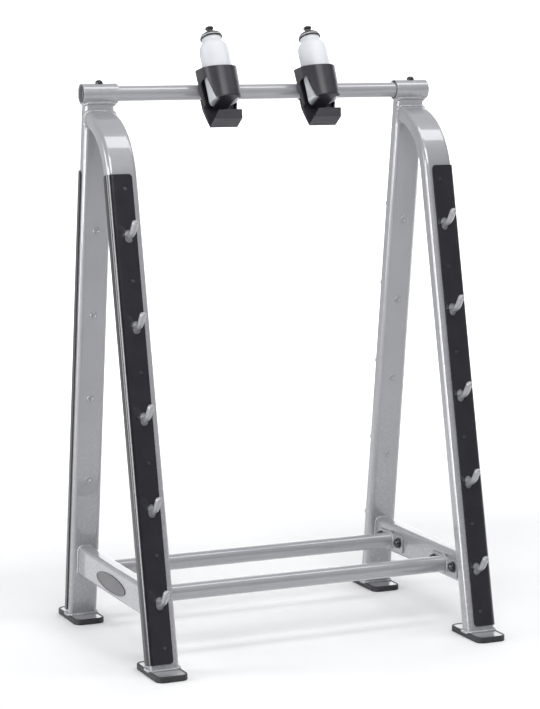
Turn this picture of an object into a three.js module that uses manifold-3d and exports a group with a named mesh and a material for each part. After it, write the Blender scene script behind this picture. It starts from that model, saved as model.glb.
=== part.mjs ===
// Barbell storage rack: two A-frames with hook rows, joined by a top rod and two lower rods,
// with two tilting bottle holders on the top rod. Millimetres, +Z up, X along the rods,
// front of the rack towards -Y, origin on the floor at the centre of the footprint.
import * as THREE from 'three';
import { mergeVertices } from 'three/addons/utils/BufferGeometryUtils.js';
import Module from 'manifold-3d';

const wasm = await Module();
wasm.setup();

// ---------------------------------------------------------------- driving dimensions
const GAP = 0.3;                 // clearance kept between pieces that touch
const FRAME_X = 425;             // centre plane of each A-frame
const TUBE_W = 76.2;             // leg tube, width along X
const TUBE_T = 38.1;             // leg tube, thickness
const TUBE_R = 12;               // leg tube corner radius
const WALL = 2.6;                // leg tube wall
const FRONT_Y0 = -314.6;         // front leg outer face at the floor
const FRONT_SLOPE = 0.215;       // front leg outer face, dy/dz
const REAR_Y0 = 309.8;           // rear leg outer face at the floor
const REAR_SLOPE = -0.1378;      // rear leg outer face, dy/dz
const BEND_Z = 1163;             // height on the outer face where the front leg starts to bend
const BEND_R = 190;              // outer radius of the bend
const LEG_FOOT_Z = 13.8;         // legs end here, on the base plates

const ROD_Y = 102.2;             // top rod axis
const ROD_Z = 1353.75;
const ROD_D = 38.1;
const ROD_HALF = 455;            // ends recessed in the sockets
const ROD_WALL = 3;
const SOCKET_D = 50.8;
const SOCKET_X0 = 379.6;
const SOCKET_X1 = 469.9;
const SOCKET_RECESS = 22.2;      // each end of a socket is opened out to this radius
const SOCKET_DEPTH = 11;         // and to this depth
const SET_SCREW_X = { left: 423.6, right: 428 };

const CROSS_Z0 = 121.7;          // cross tube, on edge
const CROSS_Z1 = 197.9;
const CROSS_R = 10;

const LOW_Y = 151.5;             // lower rods
const LOW_Z = 157.5;
const LOW_D = 41;
const PLATE_T = 5;               // end plates of the lower rods
const PLATE_HALF_Y = 69;
const PLATE_Z0 = 132;
const PLATE_Z1 = 178;
const BOLT_DY = 50.3;            // bolts, either side of the rod
const BOLT_Z = 158.5;

const PAD_Y = 290;               // base plates and pads
const PLATE_X = 76;
const PLATE_Y = 150;
const PLATE_R = 17;
const PAD_X = 80.6;
const PAD_LY = 154.6;
const PAD_R = 19.3;
const PAD_H = 13.2;
const TRAY_Z = 6.9;              // floor of the recess in each pad
const PLATE_Z = 7.2;             // base plate, underside
const PLATE_H = 6.3;

const HOOK_Z = [1021.5, 808.1, 594.7, 381.3, 167.9];  // bar centre at the leg face
const HOOK_D = 16;
const HOOK_OUT = 11;             // straight run outside the face
const HOOK_BEND = 41;            // centreline bend radius
const HOOK_TURN = 42 * Math.PI / 180;
const HOOK_RISE = 19.5;          // straight run after the bend

const GUARD_T = 3.5;             // guard strips
const GUARD_Z0 = 28;
const GUARD_Z1 = 1167;
const GUARD_INNER = 21;          // inner edge, this far inside the tube's centre line
const GUARD_SIDE = 24;           // wraps this far down the outer side
const SLOT_W = 19.4;
const SLOT_H = 32;

const HOLDER_X = [-128.4, 139.7];
const TILT = 28 * Math.PI / 180; // holders lean back by this much
const CUP_HALF = 45.5;           // bottle holder, half width at the rim
const CUP_BACK = 24.4;           // back face, in front of the rod axis
const CUP_FC = 69;               // centre of the round front
const CUP_T = 3;
const CUP_RIM = 46;              // rim height above the rod axis at the back
const CUP_RIM_FALL = 0.31;       // rim falls towards the front
const CUP_FLOOR = -62;
const BOTTLE_F = 65.2;           // bottle axis in front of the rod axis
const BOTTLE_R = 37;
const BOTTLE_Z0 = -58.6;

// ---------------------------------------------------------------- helpers
const V = (x, y, z) => new THREE.Vector3(x, y, z);
const EX = V(1, 0, 0), EY = V(0, 1, 0), EZ = V(0, 0, 1);

function solid(geometry) {
  const g = geometry.clone();
  g.deleteAttribute('normal');
  g.deleteAttribute('uv');
  const m = mergeVertices(g, 1e-4);
  return new wasm.Manifold(new wasm.Mesh({
    numProp: 3,
    vertProperties: new Float32Array(m.attributes.position.array),
    triVerts: new Uint32Array(m.index.array),
  }));
}

function geometryOf(manifold) {
  const m = manifold.getMesh();
  const g = new THREE.BufferGeometry();
  g.setAttribute('position', new THREE.BufferAttribute(new Float32Array(m.vertProperties), 3));
  g.setIndex(new THREE.BufferAttribute(new Uint32Array(m.triVerts), 1));
  const flat = g.toNonIndexed();
  flat.computeVertexNormals();
  return flat;
}

const union = (...s) => s.reduce((a, b) => a.add(b));

// outline given in the plane of e1 and e2, extruded along e1 x e2
function prism(points, depth, origin = V(0, 0, 0), e1 = EX, e2 = EY) {
  const shape = new THREE.Shape(points.map(p => new THREE.Vector2(p[0], p[1])));
  const g = new THREE.ExtrudeGeometry(shape, { depth, steps: 1, bevelEnabled: false });
  const e3 = new THREE.Vector3().crossVectors(e1, e2);
  g.applyMatrix4(new THREE.Matrix4().makeBasis(e1, e2, e3).setPosition(origin));
  return g;
}

function arcPoints(cx, cy, r, a0, a1, n) {
  const out = [];
  for (let i = 0; i <= n; i++) {
    const a = a0 + (a1 - a0) * i / n;
    out.push([cx + r * Math.cos(a), cy + r * Math.sin(a)]);
  }
  return out;
}

function roundedRect(w, h, r, n = 2, cx = 0, cy = 0) {
  const x = w / 2 - r, y = h / 2 - r, q = Math.PI / 2;
  return [
    ...arcPoints(cx + x, cy + y, r, 0, q, n),
    ...arcPoints(cx - x, cy + y, r, q, 2 * q, n),
    ...arcPoints(cx - x, cy - y, r, 2 * q, 3 * q, n),
    ...arcPoints(cx + x, cy - y, r, 3 * q, 4 * q, n),
  ];
}

const circle = (r, n, cx = 0, cy = 0, turn = 0) =>
  Array.from({ length: n }, (_, i) => {
    const a = turn + 2 * Math.PI * i / n;
    return [cx + r * Math.cos(a), cy + r * Math.sin(a)];
  });

// circle whose flats stay at least r from the centre
const bore = (r, n, cx = 0, cy = 0) => circle(r / Math.cos(Math.PI / n), n, cx, cy);

// stadium, w wide and h tall
const stadium = (w, h, n = 4, cx = 0, cy = 0) => {
  const r = w / 2, y = h / 2 - r;
  return [...arcPoints(cx, cy + y, r, 0, Math.PI, n), ...arcPoints(cx, cy - y, r, Math.PI, 2 * Math.PI, n)];
};

// round bar along X
const barX = (points, x0, x1, y, z) => prism(points, x1 - x0, V(x0, y, z), EY, EZ);

const turned = (profile, n) =>
  new THREE.LatheGeometry(profile.map(p => new THREE.Vector2(p[0], p[1])), n).rotateX(Math.PI / 2);

class ArcInYZ extends THREE.Curve {
  constructor(cy, cz, r, a0, a1, x) { super(); Object.assign(this, { cy, cz, r, a0, a1, x }); }
  getPoint(t, target = new THREE.Vector3()) {
    const a = this.a0 + (this.a1 - this.a0) * t;
    return target.set(this.x, this.cy + this.r * Math.cos(a), this.cz + this.r * Math.sin(a));
  }
}

// turned bar with a domed end, bent in the plane of the leg's normal (n) and its length (l)
function bentHook(root, ax) {
  const r = HOOK_D / 2, s1 = TUBE_T + GAP + HOOK_OUT, s2 = s1 + HOOK_BEND * HOOK_TURN, s3 = s2 + HOOK_RISE;
  const profile = [[0, 0], [r, 0]];
  for (let k = 0; k <= 4; k++) profile.push([r, s1 + (s2 - s1) * k / 4]);
  profile.push([r, s3], [r * 0.87, s3 + r * 0.5], [r * 0.5, s3 + r * 0.87], [0, s3 + r]);
  const g = new THREE.LatheGeometry(profile.map(p => new THREE.Vector2(p[0], p[1])), 8, Math.PI / 8).rotateX(Math.PI / 2);
  const p = g.attributes.position;
  for (let i = 0; i < p.count; i++) {
    const x = p.getX(i), y = p.getY(i), s = p.getZ(i);
    const a = Math.min(Math.max((s - s1) / HOOK_BEND, 0), HOOK_TURN), over = Math.max(s - s2, 0);
    const n = -TUBE_T - GAP + Math.min(s, s1) + HOOK_BEND * Math.sin(a) + over * Math.cos(a) + y * Math.sin(a);
    const l = HOOK_BEND * (1 - Math.cos(a)) + over * Math.sin(a) - y * Math.cos(a);
    const v = root.clone().addScaledVector(ax.u, x).addScaledVector(ax.n, n).addScaledVector(ax.l, l);
    p.setXYZ(i, v.x, v.y, v.z);
  }
  return g;
}

const material = (name, color, roughness, metalness) =>
  new THREE.MeshStandardMaterial({ name, color, roughness, metalness });
const SILVER = ['silver_powder_coat', 0xa5a6ac, 0.35, 0.5];
const BLACK_RUBBER = ['black_rubber', 0x1c1c1e, 0.85, 0];
const BLACK_URETHANE = ['black_urethane', 0x3a393e, 0.55, 0];
const BLACK_PLASTIC = ['black_moulding', 0x46424b, 0.5, 0];
const GLOSS_BLACK = ['black_cap', 0x141416, 0.3, 0];
const FROSTED = ['frosted_bottle', 0xe8ebf2, 0.4, 0];

const rack = new THREE.Group();
function add(name, body, mat, parent = rack) {
  const g = body instanceof THREE.BufferGeometry ? body : geometryOf(body);
  const mesh = new THREE.Mesh(g, material(...mat));
  mesh.name = name;
  parent.add(mesh);
  return mesh;
}

// axes of a leg: lateral (u), outward normal (n) and up along the leg (l), u x n = l
function legAxes(front) {
  const k = front ? FRONT_SLOPE : REAR_SLOPE;
  const l = V(0, k, 1).normalize();
  const n = front ? V(0, -1, k).normalize() : V(0, 1, -k).normalize();
  const u = V(front ? -1 : 1, 0, 0);
  return { l, n, u, k, y0: front ? FRONT_Y0 : REAR_Y0, lateral: front ? -1 : 1 };
}
const facePoint = (ax, side, z) => V(side * FRAME_X, ax.y0 + ax.k * z, z);
const below = z => solid(prism([[-600, -500], [600, -500], [600, 500], [-600, 500]], 400, V(0, 0, z - 400)));

// ---------------------------------------------------------------- A-frames
const SIDES = { left: -1, right: 1 };
const ENDS = { front: true, rear: false };

function legPrism(ax, side, z0, z1, inset = 0) {
  const o = facePoint(ax, side, z0).addScaledVector(ax.n, -TUBE_T / 2);
  const len = (z1 - z0) / ax.l.z;
  return solid(prism(roundedRect(TUBE_W - 2 * inset, TUBE_T - 2 * inset, TUBE_R - inset), len, o, ax.u, ax.n));
}

function bend(side, inset = 0) {
  const ax = legAxes(true);
  const p = facePoint(ax, side, BEND_Z);
  const c = p.clone().addScaledVector(ax.n, -BEND_R);
  const a0 = Math.atan2(p.z - c.z, p.y - c.y);
  const path = new ArcInYZ(c.y, c.z, BEND_R - TUBE_T / 2, a0, 92 * Math.PI / 180, side * FRAME_X);
  const section = roundedRect(TUBE_W - 2 * inset, TUBE_T - 2 * inset, TUBE_R - inset);
  const shape = new THREE.Shape(section.map(q => new THREE.Vector2(q[0], q[1])));
  return solid(new THREE.ExtrudeGeometry(shape, { steps: 7, bevelEnabled: false, extrudePath: path }));
}

for (const [sideName, side] of Object.entries(SIDES)) {
  const F = legAxes(true), R = legAxes(false);
  const rearOuter = legPrism(R, side, 0, ROD_Z);
  const frontOuter = legPrism(F, side, 0, BEND_Z + 0.5).add(bend(side));
  const x0 = side < 0 ? -SOCKET_X1 : SOCKET_X0;
  const socket = solid(barX(circle(SOCKET_D / 2, 20), x0, x0 + SOCKET_X1 - SOCKET_X0, ROD_Y, ROD_Z));
  const rearInner = legPrism(R, side, -5, ROD_Z, WALL).subtract(socket);
  const frontInner = legPrism(F, side, -5, BEND_Z + 0.5, WALL).add(bend(side, WALL)).subtract(rearOuter);
  let frame = union(rearOuter, frontOuter, socket).subtract(rearInner).subtract(frontInner);
  frame = frame.subtract(solid(barX(bore(ROD_D / 2 + 0.35, 20), -600, 600, ROD_Y, ROD_Z)));
  for (const x of [x0 - 20 + SOCKET_DEPTH, x0 + SOCKET_X1 - SOCKET_X0 - SOCKET_DEPTH]) {
    frame = frame.subtract(solid(barX(bore(SOCKET_RECESS, 20), x, x + 20, ROD_Y, ROD_Z)));
  }
  frame = frame.subtract(solid(prism(bore(4.3, 8), 60, V(side * SET_SCREW_X[sideName], ROD_Y, ROD_Z))));
  for (const ax of [F, R]) {
    for (const z of HOOK_Z) {
      const o = facePoint(ax, side, z).addScaledVector(ax.n, 5);
      frame = frame.subtract(solid(prism(bore(HOOK_D / 2 + GAP, 8), 60, o, ax.u, ax.l)));
    }
  }
  frame = frame.subtract(below(LEG_FOOT_Z));
  add(`a_frame_${sideName}`, frame, SILVER);

  // cross tube on edge between the legs
  let cross = solid(prism(roundedRect(TUBE_T, CROSS_Z1 - CROSS_Z0, CROSS_R, 2, 0, (CROSS_Z0 + CROSS_Z1) / 2),
    700, V(side * FRAME_X, 350, 0), EX, EZ));
  cross = cross.subtract(solid(prism(roundedRect(TUBE_T - 2 * WALL, CROSS_Z1 - CROSS_Z0 - 2 * WALL, CROSS_R - WALL, 2,
    0, (CROSS_Z0 + CROSS_Z1) / 2), 800, V(side * FRAME_X, 400, 0), EX, EZ)));
  for (const ax of [F, R]) {
    // everything outside the inner face of each leg is cut off
    const o = facePoint(ax, side, 0).addScaledVector(ax.n, -TUBE_T - GAP);
    cross = cross.subtract(solid(prism([[-100, 0], [100, 0], [100, 300], [-100, 300]], 600,
      o.clone().addScaledVector(ax.l, -100), ax.u, ax.n)));
  }
  for (const ys of [-1, 1]) {
    for (const b of [-1, 1]) {
      const xs = side < 0 ? -FRAME_X + 5 : FRAME_X - 40;
      cross = cross.subtract(solid(barX(bore(4.9, 8), xs, xs + 35, ys * LOW_Y + b * BOLT_DY, BOLT_Z)));
    }
  }
  add(`cross_tube_${sideName}`, cross, SILVER);

  // base plates, pads, guard strips and hooks of each leg
  for (const [endName, front] of Object.entries(ENDS)) {
    const ax = legAxes(front);
    const cy = front ? -PAD_Y : PAD_Y;
    const tag = `${endName}_${sideName}`;
    add(`base_plate_${tag}`, solid(prism(roundedRect(PLATE_X, PLATE_Y, PLATE_R, 3), PLATE_H,
      V(side * FRAME_X, cy, PLATE_Z))), SILVER);
    let pad = solid(prism(roundedRect(PAD_X, PAD_LY, PAD_R, 3), PAD_H, V(side * FRAME_X, cy, 0)));
    pad = pad.subtract(solid(prism(roundedRect(PLATE_X + 2 * GAP, PLATE_Y + 2 * GAP, PLATE_R + GAP, 3), 20,
      V(side * FRAME_X, cy, TRAY_Z))));
    add(`foot_pad_${tag}`, pad, BLACK_RUBBER);

    // guard strip: section wraps the outer corner of the tube
    const d = side * ax.lateral;             // lateral axis times this points away from the rack
    const c = TUBE_W / 2 - TUBE_R;
    const inner = [[-GUARD_INNER, GAP], ...arcPoints(c, -TUBE_R, TUBE_R + GAP, Math.PI / 2, 0, 2),
      [TUBE_W / 2 + GAP, -GUARD_SIDE]];
    const outer = [[TUBE_W / 2 + GAP + GUARD_T, -GUARD_SIDE],
      ...arcPoints(c, -TUBE_R, TUBE_R + GAP + GUARD_T, 0, Math.PI / 2, 2), [-GUARD_INNER, GAP + GUARD_T]];
    const section = [...inner, ...outer].map(p => [d * p[0], p[1]]);
    const o = facePoint(ax, side, GUARD_Z0);
    const len = (GUARD_Z1 - GUARD_Z0) / ax.l.z;
    let guard = solid(prism(section, len, o, ax.u, ax.n));
    const r = 9;
    const face = [[d * -GUARD_INNER, r], ...arcPoints(-GUARD_INNER + r, r, r, Math.PI, 1.5 * Math.PI, 2).map(p => [d * p[0], p[1]]),
      [d * 70, 0], [d * 70, len],
      ...arcPoints(-GUARD_INNER + r, len - r, r, Math.PI / 2, Math.PI, 2).map(p => [d * p[0], p[1]])];
    guard = guard.intersect(solid(prism(face, 60, o.clone().addScaledVector(ax.n, 20), ax.u, ax.l)));
    const sideCut = [[-GUARD_SIDE, r], ...arcPoints(-GUARD_SIDE + r, r, r, Math.PI, 1.5 * Math.PI, 2), [20, 0], [20, len],
      ...arcPoints(-GUARD_SIDE + r, len - r, r, Math.PI / 2, Math.PI, 2)];
    guard = guard.intersect(solid(prism(sideCut, 140, o.clone().addScaledVector(ax.u, -70), ax.n, ax.l)));
    for (const z of HOOK_Z) {
      const h = facePoint(ax, side, z).addScaledVector(ax.n, 12);
      guard = guard.subtract(solid(prism(stadium(SLOT_W, SLOT_H), 14, h, ax.u, ax.l)));
    }
    add(`guard_strip_${tag}`, guard, BLACK_URETHANE);

    // hooks: round bar through the leg, a little straight out, then swept up to a domed tip
    HOOK_Z.forEach((z, i) => {
      const f = facePoint(ax, side, z);
      add(`hook_${tag}_${i + 1}`, solid(bentHook(f, ax)), SILVER);
    });
  }

  // set screw through the top of the socket
  const screwProfile = [[0, 19.4], [3.9, 19.4], [3.9, 25.8], [9.5, 25.8], [9.3, 30], [6.2, 33.2], [0, 33.8]];
  add(`socket_screw_${sideName}`, solid(turned(screwProfile, 12).translate(side * SET_SCREW_X[sideName], ROD_Y, ROD_Z)), GLOSS_BLACK);
}

// ---------------------------------------------------------------- rods between the frames
add('top_rod', solid(barX(circle(ROD_D / 2, 20), -ROD_HALF, ROD_HALF, ROD_Y, ROD_Z))
  .subtract(solid(barX(circle(ROD_D / 2 - ROD_WALL, 12), -500, 500, ROD_Y, ROD_Z))), SILVER);

const PLATE_X1 = FRAME_X - TUBE_T / 2 - GAP;          // outer face of each end plate
for (const [endName, front] of Object.entries(ENDS)) {
  const y = front ? -LOW_Y : LOW_Y;
  let rod = solid(barX(circle(LOW_D / 2, 20), -PLATE_X1, PLATE_X1, y, LOW_Z));
  for (const side of [-1, 1]) {
    const x = side < 0 ? -PLATE_X1 : PLATE_X1 - PLATE_T;
    let plate = solid(prism(roundedRect(2 * PLATE_HALF_Y, PLATE_Z1 - PLATE_Z0, 9, 2, y, (PLATE_Z0 + PLATE_Z1) / 2),
      PLATE_T, V(x, 0, 0), EY, EZ));
    rod = rod.add(plate);
  }
  for (const b of [-1, 1]) rod = rod.subtract(solid(barX(bore(4.9, 8), -500, 500, y + b * BOLT_DY, BOLT_Z)));
  rod = rod.subtract(solid(barX(circle(LOW_D / 2 - 3, 12), -500, 500, y, LOW_Z)));
  add(`lower_rod_${endName}`, rod, SILVER);

  for (const [sideName, side] of Object.entries(SIDES)) {
    [-1, 1].forEach((b, i) => {
      // bolt with a domed cap, axis along X, head towards the middle of the rack
      const h = -(FRAME_X - TUBE_T / 2 - GAP - PLATE_T - GAP);
      const profile = [[0, -14], [7, -12.8], [12, -8.4], [14.2, -1.5], [14.2, 0], [4.4, 0], [4.4, 17], [0, 17]];
      const bolt = turned(profile, 12);            // axis Z, shank towards +Z
      bolt.rotateY(side < 0 ? -Math.PI / 2 : Math.PI / 2);
      bolt.translate(side < 0 ? h : -h, y + b * BOLT_DY, BOLT_Z);
      add(`cap_bolt_${endName}_${sideName}_${i + 1}`, solid(bolt), GLOSS_BLACK);
    });
  }
}

// blank oval plate on the outside of the left cross tube
add('badge_plate', solid(prism(circle(1, 28).map(p => [4.8 + 101.5 * p[0], 155 + 22.5 * p[1]]), 2,
  V(-FRAME_X - TUBE_T / 2 - GAP - 2, 0, 0), EY, EZ)), BLACK_PLASTIC);

// ---------------------------------------------------------------- bottle holders
// Each holder is drawn with its own axes: local x along the rod, local -y forward, local z up the cup,
// origin on the rod axis. The group leans it back by TILT.
const cupOutline = (inset, n) => {
  const h = CUP_HALF - inset, back = -CUP_BACK - inset, r = Math.max(7 - inset, 3);
  return [
    ...arcPoints(h - r, back - r, r, 0, Math.PI / 2, 2),
    ...arcPoints(-h + r, back - r, r, Math.PI / 2, Math.PI, 2),
    ...arcPoints(0, -CUP_FC, h, Math.PI, 2 * Math.PI, n),
  ];
};
function taper(g) {
  const p = g.attributes.position;
  for (let i = 0; i < p.count; i++) {
    const k = 1 - 0.0005 * (CUP_RIM - p.getZ(i));
    p.setX(i, p.getX(i) * k);
    p.setY(i, -CUP_BACK + (p.getY(i) + CUP_BACK) * k);
  }
  return g;
}
// outline in the side view (f forward, a up), extruded across the holder
const sideView = (pts, half) => solid(prism(pts.map(p => [-p[0], p[1]]), 2 * half, V(-half, 0, 0), EY, EZ));

function holderSolid() {
  const top = CUP_RIM + 4;
  const outer = solid(taper(prism(cupOutline(0, 12), top - CUP_FLOOR, V(0, 0, CUP_FLOOR))));
  const inner = solid(taper(prism(cupOutline(CUP_T, 12), 200, V(0, 0, CUP_FLOOR - 20))));
  const rimCut = sideView([[0, CUP_RIM + CUP_RIM_FALL * CUP_BACK - 5], [CUP_BACK - 1, CUP_RIM - 3], [CUP_BACK + 6, CUP_RIM - 1.9],
    [150, CUP_RIM - CUP_RIM_FALL * (150 - CUP_BACK)], [150, 200], [0, 200]], 60);
  let wall = outer.subtract(inner).subtract(rimCut);
  // tall slots on both sides, wider at the foot
  const slot = sideView([[43, -80], [43, -4], [44.8, 0], [49, 2], [79, 2], [82.5, 0], [84, -4], [94, -56], [95, -80]], 60);
  wall = wall.subtract(slot);
  // floor: a strip back to the rear wall and the closed front end
  const floorZone = solid(taper(prism(cupOutline(0.01, 12), CUP_T, V(0, 0, CUP_FLOOR))));
  const strip = solid(prism([[-20, -CUP_BACK], [-20, -89], [-60, -97], [-60, -140], [60, -140], [60, -97], [20, -89], [20, -CUP_BACK]],
    20, V(0, 0, CUP_FLOOR - 5)));
  let body = wall.add(floorZone.intersect(strip));
  // back plate carried down and folded forward as a towel hook
  const t = 3.2;
  const spine = [[CUP_BACK, -40], [CUP_BACK, -62], [25.6, -84], [29.6, -110.5], [31.8, -112.5], [73, -107], [92.5, -93.8],
    [90.7, -91.1], [72.2, -103.6], [34.2, -108.8], [32.6, -107.6], [28.8, -83.6], [CUP_BACK + t, -60], [CUP_BACK + t, -40]];
  const outline = [[-44.5, -40], [-44.5, -62], [-36, -108], [-36, -125], [36, -125], [36, -108], [44.5, -62], [44.5, -40]];
  const frontal = pts => solid(prism(pts, 200, V(0, 50, 0), EX, EZ));
  const flapPlan = [[-60, 0], [-60, -33], [-36, -34], [-36, -73], [-28, -96], [28, -96], [36, -73], [36, -34], [60, -33], [60, 0]];
  const hook = sideView(spine, 60).intersect(frontal(outline)).intersect(solid(prism(flapPlan, 300, V(0, 0, -200))));
  body = body.add(hook);
  // side flanges narrow away below the cup
  const cheek = sideView([[CUP_BACK, -45], [43, -45], [43, -52], [34, -60], [30, -100], [29, -106], [26, -84], [CUP_BACK, -62]], 60);
  const band = x => [[x * 43.4, -44], [x * 44.5, -62], [x * 36.0, -108], [x * 33.0, -108], [x * 41.2, -62], [x * 40.4, -44]];
  body = body.add(cheek.intersect(frontal(band(1)))).add(cheek.intersect(frontal(band(-1))));
  // two bearing rings that turn on the rod, one each side of the collar
  for (const s of [-1, 1]) {
    const x0 = s < 0 ? -26 : 14;
    const ring = solid(barX(circle(23.6, 18), x0, x0 + 12, 0, 0));
    const web = sideView([[0, -15], [CUP_BACK + 1.5, -15], [CUP_BACK + 1.5, 15], [0, 15]], 60)
      .intersect(frontal([[x0, -60], [x0 + 12, -60], [x0 + 12, 60], [x0, 60]]));
    body = body.add(ring.add(web));
  }
  return body.subtract(solid(barX(bore(ROD_D / 2 + 0.4, 18), -60, 60, 0, 0)));
}

function bottleSolid() {
  const r = BOTTLE_R, z0 = BOTTLE_Z0;
  return solid(turned([[0, z0], [r - 5, z0], [r, z0 + 5], [r, 72], [r - 1, 83], [r - 4, 92], [r - 8, 100.5], [25.6, 108.5],
    [24.6, 113.8], [22.6, 113.8], [22.6, 109], [r - 10, 100], [r - 6, 91.3], [r - 3, 82.3], [r - 1.8, 72], [r - 1.8, z0 + 6],
    [r - 6, z0 + 1.8], [0, z0 + 1.8]], 16));
}
// cap: a plug inside the neck, a flange on its rim and a dome with a stem that the spout slides on
function capSolid() {
  return solid(turned([[19.8, 100], [21.7, 100], [21.7, 114.2], [26.4, 114.2], [28.2, 115.4], [28.2, 119], [25, 124], [17, 130],
    [10.4, 132], [10.4, 134], [8.5, 134], [8.5, 128], [5, 128], [5, 140], [0, 140], [0, 112.6], [19.8, 112.6], [19.8, 100]], 16));
}
function spoutSolid() {
  return solid(turned([[5.6, 128.4], [7.8, 128.4], [7.8, 139.5], [10.4, 140.5], [10.6, 144], [8.6, 146], [2.2, 146], [2.2, 141], [5.6, 140.6],
    [5.6, 128.4]], 14));
}
function collarSolid() {
  const half = 13.4;
  return solid(barX(circle(23.8, 18), -half, half, 0, 0)).subtract(solid(barX(bore(ROD_D / 2 + 0.35, 18), -40, 40, 0, 0)))
    .subtract(sideView([[-40, -1.2], [-15, -1.2], [-15, 1.2], [-40, 1.2]], 60));
}

HOLDER_X.forEach((x, i) => {
  const tag = i === 0 ? 'left' : 'right';
  const g = new THREE.Group();
  g.position.set(x, ROD_Y, ROD_Z);
  g.rotation.x = -TILT;
  rack.add(g);
  add(`bottle_holder_${tag}`, holderSolid(), BLACK_PLASTIC, g);
  add(`holder_collar_${tag}`, collarSolid(), BLACK_PLASTIC, g);
  for (const [name, body, mat] of [['bottle', bottleSolid(), FROSTED], ['bottle_cap', capSolid(), GLOSS_BLACK],
    ['bottle_spout', spoutSolid(), GLOSS_BLACK]]) {
    add(`${name}_${tag}`, body, mat, g).position.set(0, -BOTTLE_F, 0);
  }
});

export default rack;
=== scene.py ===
import math

import bpy
import numpy as np
from mathutils import Matrix


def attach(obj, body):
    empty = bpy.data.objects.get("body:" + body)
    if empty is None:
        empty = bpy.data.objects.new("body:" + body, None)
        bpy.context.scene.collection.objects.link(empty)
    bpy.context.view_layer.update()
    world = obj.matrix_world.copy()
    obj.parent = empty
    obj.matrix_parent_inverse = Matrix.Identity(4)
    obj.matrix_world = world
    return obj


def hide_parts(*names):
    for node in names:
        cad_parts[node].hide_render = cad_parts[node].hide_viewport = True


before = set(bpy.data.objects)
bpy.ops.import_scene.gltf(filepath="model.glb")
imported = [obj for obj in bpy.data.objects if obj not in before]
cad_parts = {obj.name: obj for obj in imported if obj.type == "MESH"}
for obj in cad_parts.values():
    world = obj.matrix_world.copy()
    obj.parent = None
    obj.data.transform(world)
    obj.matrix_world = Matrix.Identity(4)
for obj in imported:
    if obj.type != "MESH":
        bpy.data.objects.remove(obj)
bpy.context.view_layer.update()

MM = 0.001
rng = np.random.RandomState(11)

# ---------------------------------------------------------------- dimensions, in millimetres, as in the CAD
FRAME_X = 425.0
TUBE_W, TUBE_T, TUBE_R = 76.2, 38.1, 12.0
F_Y0, F_K, R_Y0, R_K = -314.6, 0.215, 309.8, -0.1378
BEND_Z, BEND_R = 1163.0, 190.0
FOOT_Z = 13.8
ROD_Y, ROD_Z, ROD_R, ROD_HALF = 102.2, 1353.75, 19.05, 455.0
SOCK_R, SOCK_X0, SOCK_X1 = 25.4, 379.6, 469.9
SCREW_X = {"left": 423.6, "right": 428.0}
CROSS_Z0, CROSS_Z1, CROSS_R = 121.7, 197.9, 10.0
LOW_Y, LOW_Z, LOW_R = 151.5, 157.5, 20.5
PLATE_T, PLATE_HY, PLATE_Z0, PLATE_Z1 = 5.0, 69.0, 132.0, 178.0
BOLT_DY, BOLT_Z = 50.3, 158.5
PAD_Y = 290.0
HOOK_Z = [1021.5, 808.1, 594.7, 381.3, 167.9]
HOOK_R, HOOK_OUT, HOOK_BEND, HOOK_RISE = 8.0, 11.0, 41.0, 19.5
HOOK_TURN = math.radians(42)
GUARD_T, GUARD_Z0, GUARD_Z1, GUARD_IN, GUARD_SIDE = 3.5, 28.0, 1167.0, 21.0, 24.0
SCREW_Z = [1132.0, 915.5, 703.0, 493.0, 280.0, 66.5]
HOLDER_X = {"left": -128.4, "right": 139.7}
TILT = math.radians(28)
GAP = 0.3

# ---------------------------------------------------------------- mesh helpers


def arc(cx, cy, r, a0, a1, n):
    t = np.linspace(a0, a1, n + 1)
    return [(cx + r * math.cos(a), cy + r * math.sin(a)) for a in t]


def rrect(w, h, r, n=6, cx=0.0, cy=0.0):
    x, y, q = w / 2 - r, h / 2 - r, math.pi / 2
    return (arc(cx + x, cy + y, r, 0, q, n) + arc(cx - x, cy + y, r, q, 2 * q, n)
            + arc(cx - x, cy - y, r, 2 * q, 3 * q, n) + arc(cx + x, cy - y, r, 3 * q, 4 * q, n))


def circle(r, n, cx=0.0, cy=0.0, turn=0.0):
    return [(cx + r * math.cos(turn + 2 * math.pi * i / n), cy + r * math.sin(turn + 2 * math.pi * i / n)) for i in range(n)]


def stadium(w, h, n=10, cx=0.0, cy=0.0):
    r, y = w / 2, h / 2 - w / 2
    return arc(cx, cy + y, r, 0, math.pi, n) + arc(cx, cy - y, r, math.pi, 2 * math.pi, n)


def round_poly(points, radii, n=5):
    """The polygon with its corners rounded; a radius of 0 keeps one sharp."""
    out, m = [], len(points)
    if not hasattr(radii, "__len__"):
        radii = [radii] * m
    for i in range(m):
        p, a, b = np.array(points[i], float), np.array(points[i - 1], float), np.array(points[(i + 1) % m], float)
        u, v = a - p, b - p
        lu, lv = np.linalg.norm(u), np.linalg.norm(v)
        u, v = u / lu, v / lv
        ang = math.acos(max(-1, min(1, float(u @ v))))
        r = radii[i]
        if r <= 0 or ang > math.pi - 0.02:
            out.append(tuple(p))
            continue
        d = min(r / math.tan(ang / 2), 0.49 * lu, 0.49 * lv)
        r = d * math.tan(ang / 2)
        c = p + (u + v) / np.linalg.norm(u + v) * (r / math.sin(ang / 2))
        s, e = p + u * d - c, p + v * d - c
        a0, a1 = math.atan2(s[1], s[0]), math.atan2(e[1], e[0])
        da = (a1 - a0 + math.pi) % (2 * math.pi) - math.pi
        for k in range(n + 1):
            t = a0 + da * k / n
            out.append((c[0] + r * math.cos(t), c[1] + r * math.sin(t)))
    return out


def mesh_of(verts, faces):
    me = bpy.data.meshes.new("m")
    me.from_pydata((np.asarray(verts, float) * MM).tolist(), [], faces)
    me.validate()
    return fix(me)


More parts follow.
